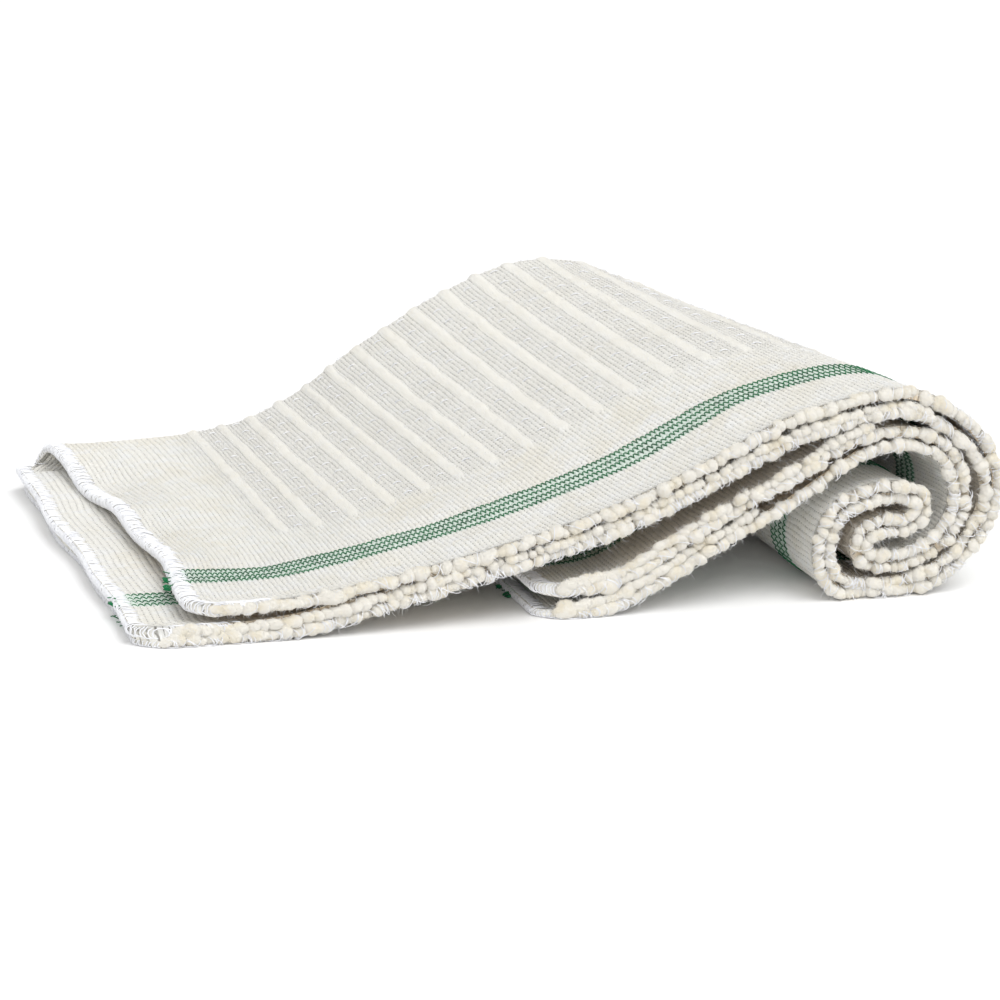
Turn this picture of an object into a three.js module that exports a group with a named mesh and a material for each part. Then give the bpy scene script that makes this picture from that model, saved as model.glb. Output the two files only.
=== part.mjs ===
import * as THREE from 'three';

// Thick cotton floor cloth, one woven panel. It is folded in half along its length, so two layers
// lie one over the other with both selvedges at the front and the fold at the back. The doubled
// strip runs up from its loose left end over a hump, down round a loose roll, through the roll,
// and out again under the hump to its second end on the floor.
// Millimetres: X along the strip, Y from the selvedges (front) to the fold (back), Z up.

// Cloth
const HALF_WIDTH = 250;        // selvedge to fold, along Y
const SHEET = 3.0;             // thickness of the woven body
const SELVEDGE_T = 5.2;        // thickness of the looped selvedge
const SELVEDGE_W = 6;          // how far the thick selvedge reaches in from the edge
const SELVEDGE_NOSE = 2.2;     // rounding of the selvedge past its edge

// Raised weft ribs
const RIB_PITCH = 18;          // along the selvedge, less towards the fold
const RIB_WIDTH = 6.0;
const RIB_HEIGHT = 1.3;
const HEADER = 62;             // plain weave between the cut end and the first rib
const BORDER = 84;             // plain weave with the stripe, along each selvedge
const RIB_LAST = 470;          // ribs are raised as far as the outside of the roll
const RIB_LAST_LOWER = 320;    // and on the lower layer as far as the hump

// Left end: the lower layer runs out past the upper one, whose own edge is drawn in half-way back
const LOWER_LEAD = { selvedge: 20, fold: 9 };
const UPPER_DRAW = 7;
const END_REACH = 90;          // the ends' run-out dies away along this length
const ROUND_CORNER = 10;       // radius of the cut ends' corners at the selvedges
const LOWER_DOUBLED = { selvedge: 5.5, fold: 10, full: 60, gone: 150 };   // added thickness of the
                               // lower layer, which lies doubled at its loose end, along s
const FOLD_STEPS = 3;          // points round the fold
const RISE = 1.5;              // the cloth climbs towards the fold in this power of the way back
const FLOOR = 0;
const INNER_MIN = 1.4;         // least height of the upper face of the layer on the floor

// One row for each section of the doubled strip, in order from the left end.
// near x, near z: middle of the two layers at the selvedges; far x, far z: the same at the fold.
// hn, hf: half the distance between the layers at the selvedges and at the fold.
const COLS = ['nx', 'nz', 'fx', 'fz', 'hn', 'hf'];
const SECTIONS = [
  [-4, 8.2, -42, 11.3, 7, 10],                // left end
  [24, 8.2, -10, 11.4, 6.8, 9.9],
  [50, 10.8, 23, 13.8, 5.9, 9],               // leaves the floor
  [87, 18.4, 55, 21, 4.8, 7.4],
  [121, 26.2, 84, 35.5, 4.3, 6],
  [154, 34.9, 107, 53, 4.2, 5.2],
  [186, 45.5, 133, 70, 4.2, 4.8],
  [216, 58.7, 160.5, 85.2, 4.2, 4.6],
  [248.5, 74.4, 192, 96.4, 4.2, 4.6],
  [277, 82.8, 220.8, 95.8, 4.2, 4.6],         // back of the hump's ridge
  [301.6, 86, 246, 85.7, 4.1, 4.4],           // front of the ridge
  [317.9, 80, 264.7, 76, 3.9, 4.2],
  [332.2, 69.5, 281.5, 66.5, 3.6, 3.8],
  [340.8, 56.7, 294, 57.5, 3.3, 3.4],
  [343.2, 45, 303.1, 46.8, 3.0, 3.0],         // right side of the roll
  [339.6, 31.6, 308.6, 36, 2.8, 2.8],
  [331.2, 18.6, 307.6, 25, 2.7, 2.8],
  [317.5, 8.2, 302.6, 13.6, 2.7, 2.8],
  [301, 4.1, 290, 5.6, 2.7, 2.8],             // under the roll
  [283, 4.1, 271, 4.1, 2.7, 2.8],
  [271, 10.2, 254.5, 8.8, 2.7, 2.8],
  [268, 24, 248.5, 21, 2.7, 2.8],             // left side of the roll
  [273, 38, 252.5, 33.5, 2.7, 2.8],
  [288, 45.8, 264, 40.6, 2.7, 2.8],           // top of the roll
  [303, 46.2, 276, 40.6, 2.7, 2.8],
  [309.6, 43.2, 281.4, 38.2, 2.7, 2.8],       // inner turn
  [311.6, 38.6, 283, 33.8, 2.7, 2.8],
  [308.8, 33.8, 280.6, 29.2, 2.7, 2.8],
  [302.5, 31.8, 275, 27.2, 2.7, 2.8],
  [294, 31.8, 268.6, 27.2, 2.7, 2.8],
  [287.2, 29.2, 262.4, 25.4, 2.7, 2.8],       // core
  [284.4, 24, 259.8, 20.4, 2.7, 2.8],
  [287, 18.6, 262.6, 15.8, 2.7, 2.8],
  [293, 16.2, 269, 14.4, 2.7, 2.8],
  [305, 16.6, 283, 16.4, 2.7, 2.8],
  [319, 23, 293.8, 23.6, 2.7, 2.8],
  [327.6, 36, 296, 33.2, 2.7, 2.8],
  [327.8, 51, 292.2, 41, 2.7, 2.8],
  [321, 63, 285, 49.2, 2.8, 2.8],
  [309, 69, 274.2, 56.6, 3.0, 2.9],           // leaves the roll, turns left
  [295, 70, 261, 60.5, 3.2, 3.0],
  [280, 66.5, 248, 56.5, 3.6, 3.2],
  [265, 57.5, 235, 49.5, 4.2, 3.6],
  [247, 47, 219, 41.5, 4.6, 4],
  [229.5, 38.2, 203, 34, 4.8, 4.4],
  [212, 28.8, 187, 26, 4.8, 4.8],
  [194.5, 18.4, 170, 17.6, 4.9, 5.4],
  [177.5, 10, 154, 11, 5.2, 6.2],
  [160, 7, 137, 8.1, 5.7, 6.9],
  [143, 6.9, 120, 8, 5.8, 6.9],               // second end, on the floor
];

// Columns across the cloth: distance from the selvedge, half thickness, share of the rib height
const ACROSS = [
  { v: 0, half: SELVEDGE_T / 2 - 0.5, rib: 0 },
  { v: SELVEDGE_W, half: SHEET / 2, rib: 0 },
  { v: 2 * SELVEDGE_W, half: SHEET / 2, rib: 0 },
  { v: BORDER, half: SHEET / 2, rib: 0 },
  { v: BORDER + 5, half: SHEET / 2, rib: 1 },
  { v: 170, half: SHEET / 2, rib: 1 },
  { v: HALF_WIDTH, half: SHEET / 2, rib: 1 },
];

// Station parameter: length along the selvedge path
const chord = [0];
for (let i = 1; i < SECTIONS.length; i++) {
  const [ax, az] = SECTIONS[i - 1], [bx, bz] = SECTIONS[i];
  chord.push(chord[i - 1] + Math.hypot(bx - ax, bz - az));
}
const LENGTH = chord[chord.length - 1];

// Smooth curve through the sections: a row of values at length s
function sectionAt(s) {
  let i = 0;
  while (i < chord.length - 2 && s > chord[i + 1]) i++;
  const span = chord[i + 1] - chord[i];
  const t = (s - chord[i]) / span;
  const row = {};
  COLS.forEach((name, c) => {
    const p1 = SECTIONS[i][c], p2 = SECTIONS[i + 1][c];
    const before = i > 0 ? (p2 - SECTIONS[i - 1][c]) / (chord[i + 1] - chord[i - 1]) : (p2 - p1) / span;
    const after = i + 2 < SECTIONS.length
      ? (SECTIONS[i + 2][c] - p1) / (chord[i + 2] - chord[i]) : (p2 - p1) / span;
    if (t < 0) { row[name] = p1 + before * (s - chord[i]); return; }
    const t2 = t * t, t3 = t2 * t;
    row[name] = (2 * t3 - 3 * t2 + 1) * p1 + (t3 - 2 * t2 + t) * before * span
      + (3 * t2 - 2 * t3) * p2 + (t3 - t2) * after * span;
  });
  return row;
}

// Point midway between the layers at length s and share u of the way back, with the way along
function midway(s, u) {
  const r = sectionAt(s);
  return {
    x: r.nx + (r.fx - r.nx) * u,
    z: r.nz + (r.fz - r.nz) * u ** RISE,
    h: r.hn + (r.hf - r.hn) * u,
  };
}

// Point of the middle of one layer; side is 1 for the upper layer of the left end, -1 for the lower
// one, and runs from 1 to -1 round the fold
function layerPoint(s, v, side) {
  const u = v / HALF_WIDTH;
  const lead = LOWER_LEAD.selvedge + (LOWER_LEAD.fold - LOWER_LEAD.selvedge) * u;
  const runOut = (lead * (1 - side) - UPPER_DRAW * Math.sin(Math.PI * u) * (1 + side)) / 2;
  const corner = ROUND_CORNER * Math.max(0, 1 - v / ROUND_CORNER) ** 2;
  const at = s - (runOut - corner) * Math.max(0, 1 - s / END_REACH)
    - corner * Math.max(0, 1 - (LENGTH - s) / END_REACH);
  const m = midway(at, u), a = midway(at - 0.4, u), b = midway(at + 0.4, u);
  const len = Math.hypot(b.x - a.x, b.z - a.z);
  const n = { x: -(b.z - a.z) / len, z: (b.x - a.x) / len };
  const out = Math.sqrt(Math.max(0, 1 - side * side)) * m.h;
  return new THREE.Vector3(m.x + n.x * m.h * side, v + out, m.z + n.z * m.h * side);
}

// Thickness that the doubled end adds inside the lower layer
function doubled(s, v, side) {
  const t = THREE.MathUtils.smoothstep(s, LOWER_DOUBLED.full, LOWER_DOUBLED.gone);
  const full = THREE.MathUtils.lerp(LOWER_DOUBLED.selvedge, LOWER_DOUBLED.fold, v / HALF_WIDTH);
  return side < -0.9 ? full * (1 - t) : 0;
}

// Stations along the cloth: plain header, three to a rib, then even steps finer inside the roll
const stations = [];
for (let s = 0; s < HEADER - 8; s += 9) stations.push({ s, rib: 0 });
for (let s = HEADER; s < RIB_LAST; s += RIB_PITCH) {
  stations.push({ s: s - RIB_WIDTH / 2, rib: 0 }, { s, rib: 1 }, { s: s + RIB_WIDTH / 2, rib: 0 });
}
const PLAIN_STEPS = [{ to: 745, step: 4.4 }, { to: LENGTH - 3, step: 8 }];
let last = stations[stations.length - 1].s;
for (const { to, step } of PLAIN_STEPS) {
  while (last + step < to) { last += step; stations.push({ s: last, rib: 0 }); }
}
stations.push({ s: LENGTH, rib: 0 });

// Columns round the folded section: upper layer, fold, lower layer
const columns = ACROSS.map((c) => ({ ...c, side: 1 }));
for (let k = 1; k <= FOLD_STEPS; k++) {
  const side = Math.cos((k / (FOLD_STEPS + 1)) * Math.PI);
  columns.push({ v: HALF_WIDTH, half: SHEET / 2, rib: 1, side });
}
ACROSS.slice().reverse().forEach((c) => columns.push({ ...c, side: -1 }));

// Middle surface and its normals
const NS = stations.length, NC = columns.length;
const mid = stations.map((st) => columns.map((c) => layerPoint(st.s, c.v, c.side)));
function normalAt(i, j) {
  const along = mid[Math.min(i + 1, NS - 1)][j].clone().sub(mid[Math.max(i - 1, 0)][j]);
  const over = mid[i][Math.min(j + 1, NC - 1)].clone().sub(mid[i][Math.max(j - 1, 0)]);
  return along.cross(over).normalize();
}

// Outer and inner face points and the nose of each selvedge
const points = [];
const add = (p, low) => points.push(p.x, p.y, Math.max(p.z, low)) / 3 - 1;
const outer = [], inner = [], nose = [];
for (let i = 0; i < NS; i++) {
  outer.push([]); inner.push([]);
  for (let j = 0; j < NC; j++) {
    const n = normalAt(i, j), c = columns[j];
    const ribbed = c.side > 0 || stations[i].s < RIB_LAST_LOWER;
    const rise = ribbed ? stations[i].rib * c.rib * RIB_HEIGHT : 0;
    outer[i].push(add(mid[i][j].clone().addScaledVector(n, c.half + rise), FLOOR));
    const inside = c.half + doubled(stations[i].s, c.v, c.side);
    inner[i].push(add(mid[i][j].clone().addScaledVector(n, -inside), INNER_MIN));
  }
  nose.push([0, NC - 1].map((j) => {
    const p = mid[i][j].clone(); p.y -= SELVEDGE_NOSE;
    return add(p, INNER_MIN / 2);
  }));
}

// Faces
const faces = [];
const quad = (a, b, c, d) => faces.push(a, b, c, a, c, d);
for (let i = 0; i + 1 < NS; i++) {
  for (let j = 0; j + 1 < NC; j++) {
    quad(outer[i][j], outer[i + 1][j], outer[i + 1][j + 1], outer[i][j + 1]);
    quad(inner[i][j], inner[i][j + 1], inner[i + 1][j + 1], inner[i + 1][j]);
  }
  const e = NC - 1;
  quad(outer[i][0], nose[i][0], nose[i + 1][0], outer[i + 1][0]);
  quad(nose[i][0], inner[i][0], inner[i + 1][0], nose[i + 1][0]);
  quad(outer[i][e], outer[i + 1][e], nose[i + 1][1], nose[i][1]);
  quad(nose[i][1], nose[i + 1][1], inner[i + 1][e], inner[i][e]);
}
for (const [i, turn] of [[0, false], [NS - 1, true]]) {
  const face = (...k) => faces.push(...(turn ? k.reverse() : k));
  for (let j = 0; j + 1 < NC; j++) {
    face(outer[i][j], outer[i][j + 1], inner[i][j + 1]);
    face(outer[i][j], inner[i][j + 1], inner[i][j]);
  }
  face(outer[i][0], inner[i][0], nose[i][0]);
  face(outer[i][NC - 1], nose[i][1], inner[i][NC - 1]);
}

const geometry = new THREE.BufferGeometry();
geometry.setAttribute('position', new THREE.Float32BufferAttribute(points, 3));
geometry.setIndex(faces);
geometry.computeBoundingBox();
const box = geometry.boundingBox;
geometry.translate(-(box.min.x + box.max.x) / 2, -(box.min.y + box.max.y) / 2, -box.min.z);
geometry.computeVertexNormals();

const cotton = new THREE.MeshStandardMaterial({ color: 0xebe7da, roughness: 0.95, metalness: 0 });
const cloth = new THREE.Mesh(geometry, cotton);
cloth.name = 'floor_cloth';

const part = new THREE.Group();
part.name = 'folded_floor_cloth';
part.add(cloth);
export default part;
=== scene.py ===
import math

import bpy
import numpy as np
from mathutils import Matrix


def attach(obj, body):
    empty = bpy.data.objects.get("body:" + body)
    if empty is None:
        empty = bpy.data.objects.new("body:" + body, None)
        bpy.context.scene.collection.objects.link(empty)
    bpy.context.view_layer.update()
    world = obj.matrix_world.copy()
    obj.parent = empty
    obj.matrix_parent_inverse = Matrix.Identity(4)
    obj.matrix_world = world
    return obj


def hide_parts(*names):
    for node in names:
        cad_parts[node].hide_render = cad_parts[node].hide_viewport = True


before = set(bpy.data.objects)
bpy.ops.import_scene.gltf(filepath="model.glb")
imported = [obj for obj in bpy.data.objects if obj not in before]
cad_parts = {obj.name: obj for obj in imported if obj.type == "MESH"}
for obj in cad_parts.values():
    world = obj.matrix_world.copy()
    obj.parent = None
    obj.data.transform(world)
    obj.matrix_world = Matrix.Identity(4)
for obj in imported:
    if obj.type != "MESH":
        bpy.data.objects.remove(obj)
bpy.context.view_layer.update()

# Woven panel
# One length of thick undyed cotton, woven with fat raised weft ribs and a plain border along each selvedge.
# It is folded in half along its length, laid over a hump, rolled at one end, and lies on the solid's folds.
# Its sizes are in millimetres: s is the way along the selvedge, q the way across from the upper selvedge.
MM = 0.001
HALF_WIDTH = 250.0
FOLD = 20.0                        # cloth taken up by the long fold
WIDTH = 2 * HALF_WIDTH + FOLD
MIDDLE_X, MIDDLE_Y = 148.234, 129.668     # middle of the lying cloth, in the table's own x and y
RISE = 1.5                         # the cloth climbs towards the fold in this power of the way back
LOWER_LEAD = {"selvedge": 20.0, "fold": 9.0}     # how far the lower layer's loose end stands out
UPPER_DRAW = 7.0                   # the upper layer's loose end is drawn in, most in the middle
END_WAVE = 1.6                     # the loose end wanders by this much
END_WAVE_TURNS = (0.055, 0.021)    # radians of its two waves in each millimetre across
END_REACH = 90.0                   # the shaping of the ends fades over this length
ROUND_CORNER = 10.0                # radius of the cut ends' corners
SLOPE_REACH = 0.4                  # the strip's slope is taken this far each way

# One row for each section of the doubled strip, in order from the left end. nx, nz: middle of the two
# layers at the selvedges; fx, fz: the same at the fold; hn, hf: half the distance between the layers.
SECTIONS = np.array([
    (-4, 8.2, -42, 11.3, 7, 10),               # left end
    (24, 8.2, -10, 11.4, 6.8, 9.9),
    (50, 10.8, 23, 13.8, 5.9, 9),              # leaves the floor
    (87, 18.4, 55, 21, 4.8, 7.4),
    (121, 26.2, 84, 35.5, 4.3, 6),
    (154, 34.9, 107, 53, 4.2, 5.2),
    (186, 45.5, 133, 70, 4.2, 4.8),
    (216, 58.7, 160.5, 85.2, 4.2, 4.6),
    (248.5, 74.4, 192, 96.4, 4.2, 4.6),
    (277, 82.8, 220.8, 95.8, 4.2, 4.6),        # back of the hump's ridge
    (301.6, 86, 246, 85.7, 4.1, 4.4),          # front of the ridge
    (317.9, 80, 264.7, 76, 3.9, 4.2),
    (332.2, 69.5, 281.5, 66.5, 3.6, 3.8),
    (340.8, 56.7, 294, 57.5, 3.3, 3.4),
    (343.2, 45, 303.1, 46.8, 3, 3),            # right side of the roll
    (339.6, 31.6, 308.6, 36, 2.8, 2.8),
    (331.2, 18.6, 307.6, 25, 2.7, 2.8),
    (317.5, 8.2, 302.6, 13.6, 2.7, 2.8),
    (301, 4.1, 290, 5.6, 2.7, 2.8),            # under the roll
    (283, 4.1, 271, 4.1, 2.7, 2.8),
    (271, 10.2, 254.5, 8.8, 2.7, 2.8),
    (268, 24, 248.5, 21, 2.7, 2.8),            # left side of the roll
    (273, 38, 252.5, 33.5, 2.7, 2.8),
    (288, 45.8, 264, 40.6, 2.7, 2.8),          # top of the roll
    (303, 46.2, 276, 40.6, 2.7, 2.8),
    (309.6, 43.2, 281.4, 38.2, 2.7, 2.8),      # inner turn
    (311.6, 38.6, 283, 33.8, 2.7, 2.8),
    (308.8, 33.8, 280.6, 29.2, 2.7, 2.8),
    (302.5, 31.8, 275, 27.2, 2.7, 2.8),
    (294, 31.8, 268.6, 27.2, 2.7, 2.8),
    (287.2, 29.2, 262.4, 25.4, 2.7, 2.8),      # core
    (284.4, 24, 259.8, 20.4, 2.7, 2.8),
    (287, 18.6, 262.6, 15.8, 2.7, 2.8),
    (293, 16.2, 269, 14.4, 2.7, 2.8),
    (305, 16.6, 283, 16.4, 2.7, 2.8),
    (319, 23, 293.8, 23.6, 2.7, 2.8),
    (327.6, 36, 296, 33.2, 2.7, 2.8),
    (327.8, 51, 292.2, 41, 2.7, 2.8),
    (321, 63, 285, 49.2, 2.8, 2.8),
    (309, 69, 274.2, 56.6, 3, 2.9),            # leaves the roll, turns left
    (295, 70, 261, 60.5, 3.2, 3),
    (280, 66.5, 248, 56.5, 3.6, 3.2),
    (265, 57.5, 235, 49.5, 4.2, 3.6),
    (247, 47, 219, 41.5, 4.6, 4),
    (229.5, 38.2, 203, 34, 4.8, 4.4),
    (212, 28.8, 187, 26, 4.8, 4.8),
    (194.5, 18.4, 170, 17.6, 4.9, 5.4),
    (177.5, 10, 154, 11, 5.2, 6.2),
    (160, 7, 137, 8.1, 5.7, 6.9),
    (143, 6.9, 120, 8, 5.8, 6.9),              # second end, on the floor
])
STATIONS = np.concatenate([[0], np.cumsum(np.hypot(*np.diff(SECTIONS[:, :2], axis=0).T))])
LENGTH = STATIONS[-1]
inner_slopes = (SECTIONS[2:] - SECTIONS[:-2]) / (STATIONS[2:] - STATIONS[:-2])[:, None]
end_slopes = np.diff(SECTIONS, axis=0)[[0, -1]] / np.diff(STATIONS)[[0, -1], None]
SLOPES = np.vstack([end_slopes[:1], inner_slopes, end_slopes[1:]])


def section_at(s):
    """The table's row at length s, on a smooth curve through the sections."""
    i = np.clip(np.searchsorted(STATIONS, s, side="right") - 1, 0, len(STATIONS) - 2)
    span = (STATIONS[i + 1] - STATIONS[i])[..., None]
    past = (s - STATIONS[i])[..., None]
    t = past / span
    curve = ((2 * t**3 - 3 * t**2 + 1) * SECTIONS[i] + (t**3 - 2 * t**2 + t) * span * SLOPES[i]
             + (3 * t**2 - 2 * t**3) * SECTIONS[i + 1] + (t**3 - t**2) * span * SLOPES[i + 1])
    return np.where(t < 0, SECTIONS[i] + SLOPES[i] * past, curve)


def midway(s, u):
    """x, z and half distance of the two layers at length s and share u of the way back."""
    nx, nz, fx, fz, hn, hf = np.moveaxis(section_at(s), -1, 0)
    return nx + (fx - nx) * u, nz + (fz - nz) * np.maximum(u, 0) ** RISE, hn + (hf - hn) * u


def cloth_point(s, q):
    """Middle of the cloth's thickness at s along and q across, in metres."""
    s, q = np.broadcast_arrays(np.asarray(s, float), np.asarray(q, float))
    side = np.cos(np.pi * np.clip((q - HALF_WIDTH) / FOLD, 0, 1))
    v = np.minimum(np.minimum(q, WIDTH - q), HALF_WIDTH)
    u = v / HALF_WIDTH
    lead = LOWER_LEAD["selvedge"] + (LOWER_LEAD["fold"] - LOWER_LEAD["selvedge"]) * u
    run_out = (lead * (1 - side) - UPPER_DRAW * np.sin(np.pi * u) * (1 + side)) / 2
    run_out = run_out + END_WAVE * np.sin(END_WAVE_TURNS[0] * q + 1.0) * np.sin(END_WAVE_TURNS[1] * q)
    corner = ROUND_CORNER * np.maximum(0, 1 - v / ROUND_CORNER) ** 2
    at = s - (run_out - corner) * np.maximum(0, 1 - s / END_REACH)
    at = at - corner * np.maximum(0, 1 - (LENGTH - s) / END_REACH)
    x, z, half = midway(at, u)
    back_x, back_z, _ = midway(at - SLOPE_REACH, u)
    fore_x, fore_z, _ = midway(at + SLOPE_REACH, u)
    step = np.hypot(fore_x - back_x, fore_z - back_z)
    lift = half * side / step
    y = v + np.sqrt(np.maximum(0, 1 - side**2)) * half
    return MM * np.stack([x - (fore_z - back_z) * lift - MIDDLE_X, y - MIDDLE_Y,
                          z + (fore_x - back_x) * lift], axis=-1)


def unit(a):
    """The same ways, each of length 1."""
    return a / np.linalg.norm(a, axis=-1, keepdims=True)


def cloth_frame(s, q, reach=0.6):
    """Point, outward normal, way along and way across, at s and q."""
    along = cloth_point(s + reach, q) - cloth_point(s - reach, q)
    across = cloth_point(s, q + reach) - cloth_point(s, q - reach)
    return cloth_point(s, q), unit(np.cross(along, across)), unit(along), unit(across)


SHEET = 3.0                        # thickness of the woven body
PICK = 2.25                        # pitch of the weft picks, along the cloth
WARP = 2.3                         # pitch of the warp threads, across it
PICK_RISE = 0.4                    # how far a pick stands out of the plain weave
RIB_PITCH = 8 * PICK
RIB_REACH = 3.7                    # half the width of a fat rib
RIB_HEIGHT = 1.05
RIB_WANDER = 0.5                   # how far a rib strays from its line
RIB_FATNESS = (0.5, 1.6)           # its height varies between these shares
RIB_SLUB, RIB_LUMP = 0.24, 0.3     # unevenness of a rib along its yarn and in small lumps
PICK_SLUB = 0.25
WARP_DIP = (0.12, 0.28)            # share that a pick dips under the warp, and what the ribbed part adds
HOLLOW = 0.25                      # the hollows between the picks lie this far under the face
FINE_END = 345.0                   # the picks are full size in the mesh as far as the roll
HEADER = 62.0                      # plain weave between the cut end and the first rib's crest
BORDER = 84.0                      # plain weave along each selvedge
CUT_EDGE = 6.0                     # reach of the thicker, overlocked cut end
CUT_SWELL = 0.7
FLOOR_GAP = 0.25                   # nothing lies closer to the floor than this
PRESSED = 1.2                      # thickness left where the cloth is pressed on the floor
SELVEDGE_REACH = 5.0               # the cloth thickens towards its looped selvedges
SELVEDGE_SWELL = 0.9
# The lower layer lies doubled at its loose end: thickness added at the selvedge and at the fold, how far
# along it is full and where it is gone, and how far its upper edge stands out past the lower one
DOUBLED = {"selvedge": 5.5, "fold": 10.0, "full": 60.0, "gone": 150.0, "past": 3.5}

WAVE, WAVE_LENGTH = 0.22, 46.0     # gentle waves of the whole cloth
CALM = (300.0, 345.0)              # over this stretch, before the roll, the waves grow less

# Creases of the upper layer: way along, way across, reach each way, depth
CREASES = [
    (6, 192, 26, 34, -5.5),
    (6, 108, 18, 26, -2.0),
    (8, 60, 12, 20, 1.2),
    (40, 60, 12, 30, -0.9),
    (30, 185, 14, 40, 0.8),
    (76, 110, 20, 60, -0.7),
    (150, 62, 46, 14, 0.8),
    (215, 30, 22, 14, -1.0),
    (262, 26, 18, 14, 1.0),
    (128, 16, 16, 10, 0.9),
    (96, 14, 14, 10, -0.9),
    (185, 190, 60, 22, -0.6),
]

dice = np.random.default_rng(71)
PICKS = int(LENGTH / PICK) + 3
KNOT = 11.0                        # a yarn's thickness changes over this length
slubs = dice.normal(0, 1, (PICKS, int(WIDTH / KNOT) + 3))
wave_ways = dice.uniform(0, 2 * math.pi, (9, 2))


def along_yarn(table, pick, q):
    """Smooth change of a yarn's thickness along its length."""
    at = np.clip(q, 0, WIDTH) / KNOT
    j = at.astype(int)
    f = at - j
    return table[pick, j] * (1 - f) + table[pick, j + 1] * f


def uneven(s, q, size):
    """Gentle unevenness, about -1 to 1, over lengths of the given size."""
    total = 0
    for k, (way, phase) in enumerate(wave_ways):
        stretch = 2 * math.pi / (size * (0.7 + 0.12 * k))
        total = total + np.sin(stretch * (s * math.cos(way) + q * math.sin(way)) + phase)
    return total / 4


def smooth_step(x, low, high):
    """0 up to low, 1 from high on, smooth between them."""
    t = np.clip((x - low) / (high - low), 0, 1)
    return t * t * (3 - 2 * t)


def lie_shift(s, q):
    """Creases and gentle waves of the whole cloth, along its normal."""
    free = 1 - smooth_step(s, *CALM)
    upper = 1 - smooth_step(q, HALF_WIDTH - FOLD, HALF_WIDTH)
    shift = WAVE * uneven(s, q, WAVE_LENGTH) * (0.4 + 0.6 * free)
    for at_s, at_q, reach_s, reach_q, depth in CREASES:
        shift = shift + upper * depth * np.exp(-((s - at_s) / reach_s) ** 2 - ((q - at_q) / reach_q) ** 2)
    return shift


def doubled(s, q):
    """Thickness that the doubled end adds inside the lower layer."""
    back_share = np.clip((WIDTH - q) / HALF_WIDTH, 0, 1)
    full = DOUBLED["selvedge"] + (DOUBLED["fold"] - DOUBLED["selvedge"]) * back_share
    below = smooth_step(q, HALF_WIDTH + 0.6 * FOLD, HALF_WIDTH + FOLD)
    return full * below * (1 - smooth_step(s, DOUBLED["full"], DOUBLED["gone"]))


def weave(s, q):
    """Height of the outer face over the middle of the cloth, and how open or ribbed the weave is there."""
    v = np.minimum(q, WIDTH - q)
    pick = np.clip((s / PICK + 1e-6).astype(int), 0, PICKS - 1)
    ridge = np.where(s < FINE_END, np.sin(np.pi * s / PICK) ** 2, 0.6)
    over = np.where(s < FINE_END, np.cos(np.pi * (q / WARP + pick)), 0)
    run = s + RIB_WANDER * uneven(0.4 * s, q, 17)
    ribbed = smooth_step(v, BORDER - 3, BORDER + 5) * smooth_step(s, HEADER - 10, HEADER - 4)
    from_rib = np.abs((run - HEADER + RIB_PITCH / 2) % RIB_PITCH - RIB_PITCH / 2)
    rib_number = np.clip(((s - HEADER) / RIB_PITCH + 0.5).astype(int), 0, PICKS - 1)
    rib = ribbed * np.where(from_rib < RIB_REACH, np.cos(0.5 * np.pi * from_rib / RIB_REACH) ** 1.7, 0)
    fat = 1 + RIB_SLUB * along_yarn(slubs, rib_number, q) + RIB_LUMP * uneven(s * 0.5, q, 6)
    slub = 1 + PICK_SLUB * along_yarn(slubs, pick, q)
    dip = WARP_DIP[0] + WARP_DIP[1] * ribbed
    plain = PICK_RISE * ridge * (1 - dip + dip * over) * slub
    height = SHEET / 2 - HOLLOW + plain * (1 - rib) + RIB_HEIGHT * rib * np.clip(fat, *RIB_FATNESS)
    return height, ribbed * (1 - rib), rib


# The mesh is coarser in the roll, at the fold and on the hidden part of the lower layer
ROLL_STEP = 3.6
FOLD_COLUMNS = 7
LOWER_COLUMNS = 16
rows = np.arange(0, FINE_END, PICK / 2)
roll_rows = 2 * int((LENGTH - FINE_END) / ROLL_STEP / 2) + 1
rows = np.concatenate([rows, np.linspace(FINE_END, LENGTH, roll_rows)])
rows = rows[len(rows) % 2 == 0:]
rows[0] = 0
upper = np.arange(0, HALF_WIDTH, WARP)
fold = np.linspace(HALF_WIDTH, HALF_WIDTH + FOLD, FOLD_COLUMNS)
lower_back = np.linspace(HALF_WIDTH + FOLD, WIDTH - BORDER, LOWER_COLUMNS)[1:]
lower_front = np.linspace(WIDTH - BORDER, WIDTH, 2 * int(BORDER / WARP / 2) + 1)[1:]
columns = np.concatenate([upper, fold, lower_back, lower_front])
columns = np.delete(columns, 1) if len(columns) % 2 == 0 else columns

S, Q = np.meshgrid(rows, columns, indexing="ij")
middle, normal, way_along, _ = cloth_frame(S, Q)
face_height, openness, rib_share = weave(S, Q)
to_end = np.minimum(S, LENGTH - S)
to_selvedge = np.minimum(Q, WIDTH - Q)
swell = CUT_SWELL * np.exp(-((to_end / CUT_EDGE) ** 2))
swell = swell + SELVEDGE_SWELL * np.exp(-((to_selvedge / SELVEDGE_REACH) ** 2))
shift = lie_shift(S, Q)
added = doubled(S, Q)
outer = middle + normal * (MM * (shift + face_height + swell))[..., None]
inner = middle + normal * (MM * (shift - SHEET / 2 - swell - added))[..., None]
past_end = DOUBLED["past"] * added / DOUBLED["fold"] * np.exp(-((S / (4 * CUT_EDGE)) ** 2))
inner = inner - way_along * (MM * past_end)[..., None]
outer[..., 2] = np.maximum(outer[..., 2], MM * FLOOR_GAP)
inner[..., 2] = np.maximum(inner[..., 2], MM * (FLOOR_GAP + PRESSED))
back = inner[::2, ::2]             # the inside faces are half as fine


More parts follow.
